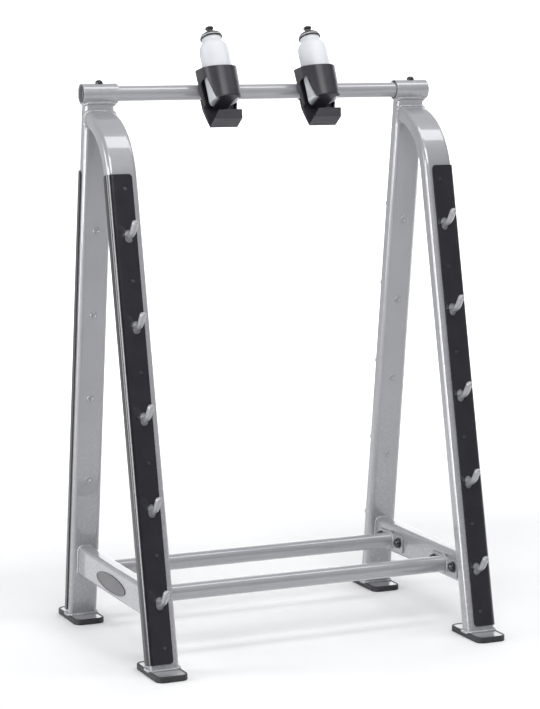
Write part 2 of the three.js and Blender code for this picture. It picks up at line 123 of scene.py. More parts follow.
def fix(me):
    import bmesh
    bm = bmesh.new()
    bm.from_mesh(me)
    bmesh.ops.remove_doubles(bm, verts=bm.verts, dist=1e-7)
    bmesh.ops.recalc_face_normals(bm, faces=bm.faces)
    bm.to_mesh(me)
    bm.free()
    return me


def loft(rings, cap=True, loop=False):
    rings = [np.asarray(r, float) for r in rings]
    n, k = len(rings[0]), len(rings)
    verts = np.vstack(rings)
    faces = []
    for i in range(k if loop else k - 1):
        a, b = i * n, ((i + 1) % k) * n
        for j in range(n):
            faces.append((a + j, a + (j + 1) % n, b + (j + 1) % n, b + j))
    if cap and not loop:
        faces.append(tuple(range(n))[::-1])
        faces.append(tuple(range((k - 1) * n, k * n)))
    return mesh_of(verts, faces)


def placed(section, origin, e1, e2):
    s = np.asarray(section, float)
    return np.asarray(origin, float) + s[:, :1] * np.asarray(e1, float) + s[:, 1:2] * np.asarray(e2, float)


def prism(section, depth, origin=(0, 0, 0), e1=(1, 0, 0), e2=(0, 1, 0), steps=1):
    e3 = np.cross(e1, e2)
    o = np.asarray(origin, float)
    return loft([placed(section, o + e3 * depth * i / steps, e1, e2) for i in range(steps + 1)])


def bar_x(section, x0, x1, y, z, steps=1):
    return prism(section, x1 - x0, (x0, y, z), (0, 1, 0), (0, 0, 1), steps)


def lathe(profile, n, place=None):
    """Profile of (radius, height), turned about local Z; place maps (k, 3) points in mm to the row frame."""
    profile = [(float(r), float(h)) for r, h in profile]
    verts, rows = [], []
    for r, h in profile:
        if r < 1e-6:
            rows.append([len(verts)])
            verts.append((0, 0, h))
        else:
            rows.append(list(range(len(verts), len(verts) + n)))
            verts += [(r * math.cos(2 * math.pi * j / n), r * math.sin(2 * math.pi * j / n), h) for j in range(n)]
    faces = []
    for a, b in zip(rows, rows[1:]):
        for j in range(n):
            q = (j + 1) % n
            if len(a) == 1 and len(b) == 1:
                continue
            if len(a) == 1:
                faces.append((a[0], b[q], b[j]))
            elif len(b) == 1:
                faces.append((a[j], a[q], b[0]))
            else:
                faces.append((a[j], a[q], b[q], b[j]))
    verts = np.array(verts, float)
    if place is not None:
        verts = place(verts)
    return mesh_of(verts, faces)


def basis(o, e1, e2, e3):
    o, m = np.asarray(o, float), np.array([e1, e2, e3], float)
    return lambda v: o + v @ m


_tmp = []


def temp(me):
    o = bpy.data.objects.new("tmp", me)
    bpy.context.scene.collection.objects.link(o)
    _tmp.append(o)
    return o


def evaluated(o):
    bpy.context.view_layer.update()
    dg = bpy.context.evaluated_depsgraph_get()
    return bpy.data.meshes.new_from_object(o.evaluated_get(dg))


def csg(a, op, b):
    oa, ob = temp(a), temp(b)
    m = oa.modifiers.new("b", "BOOLEAN")
    m.operation, m.object, m.solver = op, ob, "MANIFOLD"
    out = evaluated(oa)
    for o in (oa, ob):
        _tmp.remove(o)
        bpy.data.objects.remove(o)
    if not len(out.polygons):
        raise RuntimeError("empty boolean result")
    return out


def cut(a, *cutters):
    for c in cutters:
        a = csg(a, "DIFFERENCE", c)
    return a


def add(a, *others):
    for c in others:
        a = csg(a, "UNION", c)
    return a


def keep(a, *others):
    for c in others:
        a = csg(a, "INTERSECT", c)
    return a


def joined(*meshes):
    import bmesh
    bm = bmesh.new()
    for m in meshes:
        bm.from_mesh(m)
    me = bpy.data.meshes.new("m")
    bm.to_mesh(me)
    bm.free()
    return me


def tidy(me, dist=0.02):
    """Welds close points and dissolves what is left flat."""
    import bmesh
    bm = bmesh.new()
    bm.from_mesh(me)
    bmesh.ops.remove_doubles(bm, verts=bm.verts, dist=dist * MM)
    bmesh.ops.dissolve_limit(bm, angle_limit=math.radians(0.4), use_dissolve_boundaries=False, verts=bm.verts, edges=bm.edges)
    bm.to_mesh(me)
    bm.free()
    return me


def bevelled(me, width, segments=3, angle=38, clean=True):
    if clean:
        tidy(me)
    o = temp(me)
    m = o.modifiers.new("v", "BEVEL")
    m.limit_method, m.angle_limit = "ANGLE", math.radians(angle)
    m.width, m.segments, m.offset_type = width * MM, segments, "OFFSET"
    m.use_clamp_overlap, m.miter_outer = True, "MITER_ARC"
    out = evaluated(o)
    _tmp.remove(o)
    bpy.data.objects.remove(o)
    return out


def smooth(me, angle=40):
    me.shade_smooth()
    me.set_sharp_from_angle(angle=math.radians(angle))
    o = temp(me)
    t = o.modifiers.new("t", "TRIANGULATE")
    t.min_vertices, t.keep_custom_normals = 5, False
    w = o.modifiers.new("w", "WEIGHTED_NORMAL")
    w.keep_sharp, w.weight, w.mode = True, 50, "FACE_AREA"
    out = evaluated(o)
    _tmp.remove(o)
    bpy.data.objects.remove(o)
    return out


PIECES = []


def piece(name, me, mat, body, replaces=(), angle=40, weigh=True):
    if weigh:
        me = smooth(me, angle)
    else:
        me.shade_smooth()
        me.set_sharp_from_angle(angle=math.radians(angle))
    me.name = name
    me.materials.clear()
    me.materials.append(mat)
    o = bpy.data.objects.new(name, me)
    bpy.context.scene.collection.objects.link(o)
    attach(o, body)
    if replaces:
        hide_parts(*replaces)
    PIECES.append(o)
    return o


# ---------------------------------------------------------------- materials


class Nodes:
    def __init__(self, name):
        self.mat = bpy.data.materials.new(name)
        self.mat.use_nodes = True
        self.t = self.mat.node_tree
        self.t.nodes.clear()
        self.out = self.t.nodes.new("ShaderNodeOutputMaterial")
        self.p = self.t.nodes.new("ShaderNodeBsdfPrincipled")
        self.link(self.p.outputs[0], self.out.inputs[0])
        self.co = self.t.nodes.new("ShaderNodeTexCoord").outputs["Object"]

    def link(self, a, b):
        self.t.links.new(a, b)

    def set(self, **kw):
        for k, v in kw.items():
            self.p.inputs[k.replace("_", " ")].default_value = v

    def noise(self, scale, detail=3.0, rough=0.5, stretch=None):
        co = self.co
        if stretch:
            m = self.t.nodes.new("ShaderNodeMapping")
            m.inputs["Scale"].default_value = stretch
            self.link(co, m.inputs["Vector"])
            co = m.outputs[0]
        n = self.t.nodes.new("ShaderNodeTexNoise")
        n.inputs["Scale"].default_value = scale
        n.inputs["Detail"].default_value = detail
        n.inputs["Roughness"].default_value = rough
        self.link(co, n.inputs["Vector"])
        return n.outputs["Fac"]

    def voronoi(self, scale, feature="F1"):
        n = self.t.nodes.new("ShaderNodeTexVoronoi")
        n.feature = feature
        n.inputs["Scale"].default_value = scale
        self.link(self.co, n.inputs["Vector"])
        return n

    def ramp(self, fac, stops):
        n = self.t.nodes.new("ShaderNodeValToRGB")
        e = n.color_ramp.elements
        while len(e) < len(stops):
            e.new(0.5)
        for el, (pos, col) in zip(e, stops):
            el.position = pos
            el.color = (*col, 1) if len(col) == 3 else col
        self.link(fac, n.inputs["Fac"])
        return n.outputs["Color"]

    def range(self, v, a, b, lo, hi):
        n = self.t.nodes.new("ShaderNodeMapRange")
        for i, x in zip(("From Min", "From Max", "To Min", "To Max"), (a, b, lo, hi)):
            n.inputs[i].default_value = x
        self.link(v, n.inputs["Value"])
        return n.outputs[0]

    def mix(self, fac, a, b, mode="MIX"):
        n = self.t.nodes.new("ShaderNodeMix")
        n.data_type, n.blend_type = "RGBA", mode
        if isinstance(fac, (int, float)):
            n.inputs[0].default_value = fac
        else:
            self.link(fac, n.inputs[0])
        for sock, v in ((n.inputs[6], a), (n.inputs[7], b)):
            if isinstance(v, tuple):
                sock.default_value = (*v, 1)
            else:
                self.link(v, sock)
        return n.outputs[2]

    def math(self, op, a, b=None):
        n = self.t.nodes.new("ShaderNodeMath")
        n.operation = op
        for sock, v in zip(n.inputs, (a, b)):
            if v is None:
                continue
            if isinstance(v, (int, float)):
                sock.default_value = v
            else:
                self.link(v, sock)
        return n.outputs[0]

    def edge(self, lo=0.51, hi=0.6):
        g = self.t.nodes.new("ShaderNodeNewGeometry")
        return self.range(g.outputs["Pointiness"], lo, hi, 0.0, 1.0)

    def bump(self, *layers):
        """Layers of (height, strength, distance in mm)."""
        prev = None
        for h, strength, dist in layers:
            b = self.t.nodes.new("ShaderNodeBump")
            b.inputs["Strength"].default_value = strength
            b.inputs["Distance"].default_value = dist * MM
            self.link(h, b.inputs["Height"])
            if prev is not None:
                self.link(prev, b.inputs["Normal"])
            prev = b.outputs[0]
        self.link(prev, self.p.inputs["Normal"])
        return prev


def silver(name, ripple=0.0):
    m = Nodes(name)
    m.set(Metallic=0.2, Coat_Weight=1.0, Coat_Roughness=0.05, Coat_IOR=1.75)
    flake = m.voronoi(2600).outputs["Color"]
    bw = m.t.nodes.new("ShaderNodeRGBToBW")
    m.link(flake, bw.inputs[0])
    cloud = m.noise(7, 3, 0.55)
    base = m.ramp(cloud, [(0.3, (0.312, 0.314, 0.335)), (0.7, (0.348, 0.350, 0.369))])
    col = m.mix(0.22, base, m.ramp(bw.outputs[0], [(0.1, (0.24, 0.242, 0.26)), (0.9, (0.46, 0.463, 0.485))]))
    # painted highlight: convex edges, found by pointiness, are mixed towards a light grey in noisy patches
    edge = m.edge(0.515, 0.60)
    edge_highlight = m.math("MULTIPLY", edge, m.range(m.noise(160, 4, 0.6), 0.45, 0.7, 0.0, 0.5))
    col = m.mix(edge_highlight, col, (0.60, 0.60, 0.62))
    m.link(col, m.p.inputs["Base Color"])
    m.link(m.range(m.noise(420, 3, 0.6), 0.3, 0.7, 0.33, 0.44), m.p.inputs["Roughness"])
    layers = [(m.noise(38, 2, 0.5), 0.05, 0.4), (m.noise(520, 2, 0.5), 0.10, 0.05)]
    if ripple:
        layers.append((m.noise(240, 3, 0.6), ripple, 0.35))
    m.bump(*layers)
    return m.mat


def black(name, col, rough, coat, grain, spread=0.25, coarse=None, edge=0.35, gloss=0.18, ior=1.5):
    m = Nodes(name)
    m.set(Coat_Weight=coat, Coat_Roughness=gloss, Metallic=0.0, IOR=ior)
    lo = tuple(c * (1 - spread) for c in col)
    hi = tuple(c * (1 + spread) for c in col)
    base = m.ramp(m.noise(26, 4, 0.6), [(0.32, lo), (0.68, hi)])
    # painted highlight: convex edges, found by pointiness, are mixed towards a lighter tint of the colour in noisy
    # patches; edge sets how strong
    e = m.math("MULTIPLY", m.edge(0.52, 0.62), m.range(m.noise(190, 4, 0.65), 0.4, 0.7, 0.0, edge))
    m.link(m.mix(e, base, tuple(min(1, c * 2.6 + 0.02) for c in col)), m.p.inputs["Base Color"])
    m.link(m.range(m.noise(grain, 3, 0.6), 0.3, 0.7, rough - 0.05, rough + 0.07), m.p.inputs["Roughness"])
    layers = [(m.voronoi(grain * 1.6).outputs["Distance"], 0.16, 0.09), (m.noise(grain, 3, 0.6), 0.14, 0.07)]
    if coarse:
        layers.insert(0, (m.noise(coarse, 2, 0.5), 0.06, 0.5))
    m.bump(*layers)
    return m.mat


def frosted(name):
    m = Nodes(name)
    m.set(Roughness=0.36, Coat_Weight=0.25, Coat_Roughness=0.2, Subsurface_Weight=0.35, Subsurface_Scale=0.004,
          Transmission_Weight=0.22, IOR=1.45)
    m.p.inputs["Subsurface Radius"].default_value = (0.9, 0.95, 1.0)
    base = m.ramp(m.noise(18, 3, 0.5), [(0.3, (0.80, 0.825, 0.875)), (0.7, (0.88, 0.90, 0.94))])
    m.link(base, m.p.inputs["Base Color"])
    m.link(m.range(m.noise(90, 3, 0.6), 0.3, 0.7, 0.30, 0.44), m.p.inputs["Roughness"])
    m.bump((m.noise(60, 2, 0.5), 0.06, 0.3), (m.noise(900, 2, 0.5), 0.12, 0.04))
    return m.mat


M = {
    "silver": silver("silver_powder_coat"),
    "weld": silver("silver_weld", 0.5),
    "guard": black("guard_urethane", (0.0130, 0.0116, 0.0175), 0.17, 0.0, 620, coarse=30, ior=1.7),
    "guard_screw": black("guard_screw", (0.012, 0.0115, 0.014), 0.25, 0.0, 900, ior=1.9),
    "pad": black("pad_rubber", (0.022, 0.022, 0.025), 0.5, 0.05, 520, coarse=40),
    "screw": black("screw_black", (0.010, 0.010, 0.011), 0.27, 0.3, 900),
    "cap": black("cap_black", (0.013, 0.0125, 0.015), 0.24, 0.35, 700),
    "badge": black("badge_black", (0.060, 0.058, 0.068), 0.33, 0.5, 800),
    "holder": black("holder_moulding", (0.0165, 0.0145, 0.0215), 0.40, 0.2, 560, coarse=34),
    "lid": black("bottle_cap_black", (0.010, 0.010, 0.012), 0.2, 0.4, 800),
    "plug": black("plug_black", (0.05, 0.05, 0.058), 0.5, 0.05, 600),
    "frosted": frosted("bottle_frosted"),
}

# ---------------------------------------------------------------- legs


class Leg:
    def __init__(self, front):
        self.front = front
        self.k = F_K if front else R_K
        self.y0 = F_Y0 if front else R_Y0
        s = math.hypot(self.k, 1)
        self.l = np.array([0, self.k / s, 1 / s])
        self.n = np.array([0, -1 / s, self.k / s]) if front else np.array([0, 1 / s, -self.k / s])
        self.u = np.array([-1.0 if front else 1.0, 0, 0])

    def face(self, side, z):
        return np.array([side * FRAME_X, self.y0 + self.k * z, z])


LEG = {"front": Leg(True), "rear": Leg(False)}
SIDE = {"left": -1, "right": 1}


def tube_section(n=9, inset=0.0, cy=-TUBE_T / 2):
    return rrect(TUBE_W - 2 * inset, TUBE_T - 2 * inset, TUBE_R - inset, n, 0, cy)


def ring_at(leg, side, section, z):
    """The leg's section cut level at height z."""
    p = placed(section, leg.face(side, z), leg.u, leg.n)
    t = (z - p[:, 2]) / leg.l[2]
    return p + t[:, None] * leg.l


def leg_rings(leg, side, z0, z1, section, level=True):
    o1 = leg.face(side, z1)
    first = ring_at(leg, side, section, z0) if level else placed(section, leg.face(side, z0), leg.u, leg.n)
    return [first, placed(section, o1, leg.u, leg.n)]


def bend_rings(side, section, steps=34):
    leg = LEG["front"]
    p = leg.face(side, BEND_Z)
    c = p - leg.n * BEND_R
    a0 = math.atan2(p[2] - c[2], p[1] - c[1])
    a1 = math.radians(92)
    if a0 < 0:
        a0 += 2 * math.pi
    rings = []
    for i in range(steps + 1):
        a = a0 + (a1 - a0) * i / steps
        n = np.array([0, math.cos(a), math.sin(a)])
        o = np.array([side * FRAME_X, c[1], c[2]]) + n * BEND_R
        rings.append(placed(section, o, leg.u, n))
    return rings


def bead(path, r=3.2, pitch=4.2, amp=0.16, n=9, step=0.8, squash=1.0, closed=True, seed=0):
    """A weld bead along a path, with its ripples."""
    rs = np.random.RandomState(seed)
    p = np.asarray(path, float)
    if closed:
        p = np.vstack([p, p[:1]])
    seg = np.linalg.norm(np.diff(p, axis=0), axis=1)
    s = np.concatenate([[0], np.cumsum(seg)])
    total = s[-1]
    m = max(12, int(total / step))
    t = np.linspace(0, total, m, endpoint=not closed)
    q = np.stack([np.interp(t, s, p[:, i]) for i in range(3)], 1)
    tan = np.roll(q, -1, 0) - np.roll(q, 1, 0) if closed else np.gradient(q, axis=0)
    tan /= np.linalg.norm(tan, axis=1)[:, None]
    count = max(1, round(total / pitch))
    wob = np.interp(t, np.linspace(0, total, 24), rs.rand(24) * 0.22 - 0.11)
    if closed:
        fade = np.clip(np.minimum(t, total - t) / 8, 0, 1)
        wob *= fade
    phase = (t / total * count) % 1.0
    rad = r * (1 - amp * 0.5 + amp * np.abs(np.sin(math.pi * phase)) ** 0.8 + wob)
    rings = []
    up = np.array([0, 0, 1.0]) if abs(tan[0] @ np.array([0, 0, 1.0])) < 0.8 else np.array([1.0, 0, 0])
    e1 = np.cross(tan[0], up)
    e1 /= np.linalg.norm(e1)
    frames = []
    for i in range(m):
        e1 = e1 - tan[i] * (e1 @ tan[i])
        e1 /= np.linalg.norm(e1)
        frames.append(e1.copy())
    if closed:  # spread what the frame has turned by over the loop
        last = frames[-1] - tan[0] * (frames[-1] @ tan[0])
        last /= np.linalg.norm(last)
        ang = math.atan2(np.cross(last, frames[0]) @ tan[0], last @ frames[0])
    for i in range(m):
        e = frames[i]
        f = np.cross(tan[i], e)
        if closed:
            a = ang * i / m
            e, f = e * math.cos(a) + f * math.sin(a), f * math.cos(a) - e * math.sin(a)
        k = np.array(circle(1, n))
        rings.append(q[i] + rad[i] * (k[:, :1] * e + k[:, 1:] * f))
    if not closed:
        rings[0] = q[0] + (rings[0] - q[0]) * 0.35
        rings[-1] = q[-1] + (rings[-1] - q[-1]) * 0.35
    return loft(rings, cap=not closed, loop=closed)


def frames_and_welds():
    for sname, side in SIDE.items():
        F, R = LEG["front"], LEG["rear"]
        sec = tube_section()
        rear = loft(leg_rings(R, side, FOOT_Z, ROD_Z, sec))
        front = loft(leg_rings(F, side, FOOT_Z, BEND_Z, sec)[:1] + bend_rings(side, sec))
        x0 = -SOCK_X1 if side < 0 else SOCK_X0
        x1 = x0 + SOCK_X1 - SOCK_X0
        prof = [(0, 0), (SOCK_R - 1.2, 0), (SOCK_R - 0.35, 0.35), (SOCK_R, 1.2), (SOCK_R, SOCK_X1 - SOCK_X0 - 1.2),
                (SOCK_R - 0.35, SOCK_X1 - SOCK_X0 - 0.35), (SOCK_R - 1.2, SOCK_X1 - SOCK_X0), (0, SOCK_X1 - SOCK_X0)]
        socket = lathe(prof, 72, basis((x0, ROD_Y, ROD_Z), (0, 1, 0), (0, 0, 1), (1, 0, 0)))
        body = add(rear, front, socket)
        inner = [(0, -1), (22.9, -1), (22.9, 0.4), (22.2, 1.1), (22.2, 11), (19.5, 12), (19.5, 78.3), (22.2, 79.3), (22.2, 89.2),
                 (22.9, 89.9), (22.9, 91.3), (0, 91.3)]
        body = cut(body, lathe(inner, 72, basis((x0, ROD_Y, ROD_Z), (0, 1, 0), (0, 0, 1), (1, 0, 0))))
        piece(f"frame_{sname}", tidy(body), M["silver"], "rack", [f"a_frame_{sname}"], 30)

        beads = []
        # round the foot of each leg
        for leg in (F, R):
            beads.append(bead(ring_at(leg, side, tube_section(8, -0.6), 14.6), 4.4, 5.2, 0.28, seed=3 + side))
        # where the curved end meets the rear leg
        plane_o = R.face(side, 0) - R.n * TUBE_T
        rings = bend_rings(side, tube_section(9, -0.3), 60)
        pts = []
        for j in range(len(rings[0])):
            d = [(r[j] - plane_o) @ R.n for r in rings]
            for i in range(len(rings) - 1):
                if d[i] <= 0 < d[i + 1]:
                    t = d[i] / (d[i] - d[i + 1])
                    pts.append(rings[i][j] + t * (rings[i + 1][j] - rings[i][j]))
                    break
        beads.append(bead(pts, 5.0, 5.6, 0.32, seed=9 + side))
        # the leg's end on the socket
        prof_s = np.array(tube_section(9, -0.3))
        pts = []
        for s2 in prof_s:
            a = placed([s2], R.face(side, 1280), R.u, R.n)[0]
            w = a[1:] - np.array([ROD_Y, ROD_Z])
            d = R.l[1:]
            bq, cq = w @ d, w @ w - (SOCK_R + 0.3) ** 2
            disc = bq * bq - cq
            if disc < 0:
                disc = 0.0
            pts.append(a + R.l * (-bq - math.sqrt(disc)))
        beads.append(bead(pts, 4.3, 5.0, 0.28, seed=21 + side))
        # cross tube on both legs
        for leg in (F, R):
            cs = np.array(rrect(TUBE_T + 0.8, CROSS_Z1 - CROSS_Z0 + 0.8, CROSS_R + 0.4, 8, 0, (CROSS_Z0 + CROSS_Z1) / 2))
            pts = []
            for x, z in cs:
                o = leg.face(side, 0) - leg.n * TUBE_T
                y = o[1] - (np.array([0, 0, z]) - np.array([0, 0, o[2]])) @ leg.n / leg.n[1]
                pts.append((side * FRAME_X + x, y, z))
            beads.append(bead(pts, 3.9, 4.8, 0.28, seed=31 + side))
        piece(f"weld_beads_{sname}", joined(*beads), M["weld"], "rack", (), 60, False)

        # plug welds on the inner faces, where the hook bars end
        plugs = []
        for leg in (F, R):
            for z in HOOK_Z:
                o = leg.face(side, z) - leg.n * (TUBE_T - 0.4)
                prof = [(0, -1.5), (9.8, -1.5), (9.8, 0), (9.3, 1.2), (8.3, 2.2), (7.0, 2.6), (5.8, 2.2), (4.9, 1.2), (4.0, 0.3), (2.8, -0.1), (1.6, 0.4), (0, 0.8)]
                plugs.append(lathe([(r, h + 0.4) for r, h in prof], 28, basis(o, leg.u, leg.l, -leg.n)))
        piece(f"hook_plugs_{sname}", joined(*plugs), M["weld"], "rack", (), 50, False)


def cross_tubes():
    for sname, side in SIDE.items():
        F, R = LEG["front"], LEG["rear"]
        sec = rrect(TUBE_T, CROSS_Z1 - CROSS_Z0, CROSS_R, 9, 0, (CROSS_Z0 + CROSS_Z1) / 2)
        rings = []
        for leg in (F, R):
            o = leg.face(side, 0) - leg.n * (TUBE_T - 0.8)
            ring = []
            for x, z in sec:
                y = o[1] - (z - o[2]) * leg.n[2] / leg.n[1]
                ring.append((side * FRAME_X + x, y, z))
            rings.append(np.array(ring))
        piece(f"cross_member_{sname}", loft(rings), M["silver"], "rack", [f"cross_tube_{sname}"], 30)


def feet():
    for sname, side in SIDE.items():
        for ename, leg in LEG.items():
            cy = -PAD_Y if leg.front else PAD_Y
            o = (side * FRAME_X, cy, 7.2)
            plate = prism(rrect(76, 150, 17, 10), 6.3, o)
            piece(f"foot_plate_{ename}_{sname}", bevelled(plate, 0.9, 3, clean=False), M["silver"], "rack", [f"base_plate_{ename}_{sname}"], 50)
            # moulded tray: outer wall drawn in a little at the foot, lip rounded, recess for the plate
            def at(w, h, r, z):
                return placed(rrect(w, h, r, 10), (side * FRAME_X, cy, z), (1, 0, 0), (0, 1, 0))
            prof = [(-1.6, 0.0), (-0.5, 0.35), (0, 1.4), (0, 5.6), (-0.35, 6.4), (-0.35, 7.0), (0, 7.6), (0, 12.8), (-0.35, 13.8), (-1.3, 14.4),
                    (-4.0, 14.5), (-5.1, 14.3), (-5.5, 13.9), (-5.1, 13.65), (-2.3, 13.6), (-2.0, 13.0), (-2.0, 7.0)]
            rings = [at(80.6 + 2 * d, 154.6 + 2 * d, 19.3 + d, z) for d, z in prof]
            piece(f"foot_tray_{ename}_{sname}", loft(rings), M["pad"], "rack", [f"foot_pad_{ename}_{sname}"], 50)


def guards():
    c = TUBE_W / 2 - TUBE_R
    for sname, side in SIDE.items():
        for ename, leg in LEG.items():
            d = side * leg.u[0]
            inner = [(-GUARD_IN, GAP)] + arc(c, -TUBE_R, TUBE_R + GAP, math.pi / 2, 0, 9) + [(TUBE_W / 2 + GAP, -GUARD_SIDE)]
            outer = [(TUBE_W / 2 + GAP + GUARD_T, -GUARD_SIDE)] + arc(c, -TUBE_R, TUBE_R + GAP + GUARD_T, 0, math.pi / 2, 11) + [(-GUARD_IN, GAP + GUARD_T)]
            section = [(d * x, y) for x, y in inner + outer]
            o = leg.face(side, GUARD_Z0)
            ln = (GUARD_Z1 - GUARD_Z0) / leg.l[2]
            g = prism(section, ln, o, leg.u, leg.n) if d > 0 else prism(section[::-1], ln, o, leg.u, leg.n)
            r = 9.0
            face = [(-GUARD_IN, r)] + arc(-GUARD_IN + r, r, r, math.pi, 1.5 * math.pi, 7)[1:] + [(70, 0), (70, ln)] \
                + arc(-GUARD_IN + r, ln - r, r, math.pi / 2, math.pi, 7)
            face = [(d * x, y) for x, y in face]
            g = keep(g, prism(face if d > 0 else face[::-1], 60, o + leg.n * 20 - np.cross(leg.u, leg.l) * 0 if np.cross(leg.u, leg.l) @ leg.n < 0 else o - leg.n * 40, leg.u, leg.l))
            sc = [(-GUARD_SIDE, r)] + arc(-GUARD_SIDE + r, r, r, math.pi, 1.5 * math.pi, 7)[1:] + [(20, 0), (20, ln)] \
                + arc(-GUARD_SIDE + r, ln - r, r, math.pi / 2, math.pi, 7)
            g = keep(g, prism(sc, 160, o - leg.u * 80 if np.cross(leg.n, leg.l) @ leg.u > 0 else o + leg.u * 80, leg.n, leg.l))
            nz = np.cross(leg.u, leg.l)
            holes = []
            for z in HOOK_Z:
                h = leg.face(side, z) - nz * 12
                holes.append(prism(stadium(19.4, 32.0, 14), 24, h, leg.u, leg.l))
            for z in SCREW_Z:
                h = leg.face(side, z) + leg.u * (-d * 2.0) * 1.0
                sink = [(0, -0.9), (4.2, -0.9), (5.8, GAP + GUARD_T + 0.01), (5.8, 8), (0, 8)]
                holes.append(lathe([(a, max(b, 1.2)) for a, b in sink], 24, basis(h, leg.u, leg.l * (1 if nz @ leg.n > 0 else -1), leg.n)))
            g = cut(g, joined(*holes))
            piece(f"guard_{ename}_{sname}", bevelled(g, 0.7, 3, 42), M["guard"], "rack", [f"guard_strip_{ename}_{sname}"], 45)
            heads = []
            for z in SCREW_Z:
                h = leg.face(side, z) + leg.u * (-d * 2.0)
                prof = [(0, 1.25), (4.3, 1.25), (5.0, 3.05), (4.7, 3.35), (3.2, 3.6), (1.9, 3.65), (1.75, 3.5), (1.7, 2.2), (0, 2.0)]
                heads.append(lathe(prof, 24, basis(h, leg.u, leg.l * (1 if nz @ leg.n > 0 else -1), leg.n)))
            piece(f"guard_screws_{ename}_{sname}", joined(*heads), M["guard_screw"], "rack", (), 35, False)


def hooks():
    for sname, side in SIDE.items():
        for ename, leg in LEG.items():
            for i, z in enumerate(HOOK_Z):
                root = leg.face(side, z)
                s1 = HOOK_OUT
                s2 = s1 + HOOK_BEND * HOOK_TURN
                s3 = s2 + HOOK_RISE
                prof = [(0, -30), (HOOK_R, -30), (HOOK_R, -1)] + [(HOOK_R, s) for s in np.linspace(0, s1, 4)]
                prof += [(HOOK_R, s) for s in np.linspace(s1, s2, 20)[1:]] + [(HOOK_R, s3 - 0.5)]
                prof += [(HOOK_R * math.cos(a), s3 + HOOK_R * math.sin(a)) for a in np.linspace(0, math.pi / 2, 10)[:-1]] + [(0, s3 + HOOK_R)]

                def place(v):
                    x, y, s = v[:, 0], v[:, 1], v[:, 2]
                    a = np.clip((s - s1) / HOOK_BEND, 0, HOOK_TURN)
                    over = np.maximum(s - s2, 0)
                    nn = np.minimum(s, s1) + HOOK_BEND * np.sin(a) + over * np.cos(a) + y * np.sin(a)
                    ll = HOOK_BEND * (1 - np.cos(a)) + over * np.sin(a) - y * np.cos(a)
                    return root + x[:, None] * leg.u + nn[:, None] * leg.n + ll[:, None] * leg.l
                bar = lathe(prof, 32, place)
                # weld fillet round the bar at the tube's face
                loop = placed(circle(HOOK_R + 0.6, 40), root + leg.n * 0.6, leg.u, leg.l)
                fil = bead(loop, 1.3, 3.0, 0.15, n=9, step=0.9, seed=i)
                piece(f"hook_bar_{ename}_{sname}_{i + 1}", joined(bar, fil), M["silver"], "rack", [f"hook_{ename}_{sname}_{i + 1}"], 50, False)


def rods():
    # top rod: tube with eased ends, each closed by a plug
    L = 2 * ROD_HALF
    prof = [(16.0, 0.4), (16.4, 0), (18.4, 0), (19.05, 0.65), (19.05, L - 0.65), (18.4, L), (16.4, L), (16.0, L - 0.4), (16.0, 0.4)]
    prof = [(16.0, 0.4), (16.4, 0.0), (18.4, 0.0), (19.05, 0.65)] + [(19.05, L * k / 12) for k in range(1, 12)] + \
        [(19.05, L - 0.65), (18.4, L), (16.4, L), (16.0, L - 0.4), (16.0, 0.4)]
    piece("rod_top", lathe(prof, 72, basis((-ROD_HALF, ROD_Y, ROD_Z), (0, 1, 0), (0, 0, 1), (1, 0, 0))), M["silver"], "rack", ["top_rod"], 35)
    for s in (-1, 1):
        p = [(0, -12), (15.4, -12), (15.8, -11), (15.8, 0), (17.6, 0), (18.2, 0.5), (18.2, 2.0), (17.4, 2.8), (13.5, 3.0), (13.0, 2.6), (0, 2.2)]
        piece(f"rod_plug_{'left' if s < 0 else 'right'}", lathe(p, 48, basis((s * ROD_HALF, ROD_Y, ROD_Z), (0, 1, 0), (0, 0, 1.0 * s), (1.0 * s, 0, 0))),
              M["plug"], "rack", (), 35)
    X1 = FRAME_X - TUBE_T / 2 - GAP
    for ename in ("front", "rear"):
        y = -LOW_Y if ename == "front" else LOW_Y
        rod = lathe([(0, 0), (LOW_R, 0)] + [(LOW_R, 2 * X1 * k / 12) for k in range(1, 12)] + [(LOW_R, 2 * X1), (0, 2 * X1)], 72,
                    basis((-X1, y, LOW_Z), (0, 1, 0), (0, 0, 1), (1, 0, 0)))
        plates = []
        for s in (-1, 1):
            x = -X1 if s < 0 else X1 - PLATE_T
            p = prism(rrect(2 * PLATE_HY, PLATE_Z1 - PLATE_Z0, 9, 8, y, (PLATE_Z0 + PLATE_Z1) / 2), PLATE_T, (x, 0, 0), (0, 1, 0), (0, 0, 1))
            plates.append(bevelled(p, 0.7, 3, clean=False))
        body = add(rod, *plates)
        holes = [bar_x(circle(5, 24), -600, 600, y + b * BOLT_DY, BOLT_Z) for b in (-1, 1)]
        body = cut(body, *holes)
        piece(f"rod_low_{ename}", tidy(body), M["silver"], "rack", [f"lower_rod_{ename}"], 35)
        rings = []
        for s in (-1, 1):
            x = s * (X1 - PLATE_T - 0.5)
            rings.append(bead(placed(circle(LOW_R + 0.6, 64), (x, y, LOW_Z), (0, 1, 0), (0, 0, 1)), 3.3, 4.6, 0.26, seed=5 + s))
        piece(f"rod_welds_{ename}", joined(*rings), M["weld"], "rack", (), 60, False)


def caps():
    head = FRAME_X - TUBE_T / 2 - GAP - PLATE_T - GAP
    for ename in ("front", "rear"):
        y = -LOW_Y if ename == "front" else LOW_Y
        for sname, side in SIDE.items():
            for i, b in enumerate((-1, 1)):
                o = (side * head, y + b * BOLT_DY, BOLT_Z)
                pl = basis(o, (0, 1, 0), (0, 0, -1.0 * side), (-1.0 * side, 0, 0))
                prof = [(0, 0), (13.9, 0), (14.2, 0.3), (14.2, 1.3), (13.9, 1.7), (12.9, 1.9), (12.6, 2.2), (12.75, 2.8), (12.9, 4.0)]
                prof += [(12.9 * math.cos(a), 4.0 + 10.0 * math.sin(a)) for a in np.linspace(0.12, math.pi / 2, 14)[:-1]] + [(0, 14.0)]
                piece(f"dome_cap_{ename}_{sname}_{i + 1}", lathe(prof, 48, pl), M["cap"], "rack", [f"cap_bolt_{ename}_{sname}_{i + 1}"], 35)


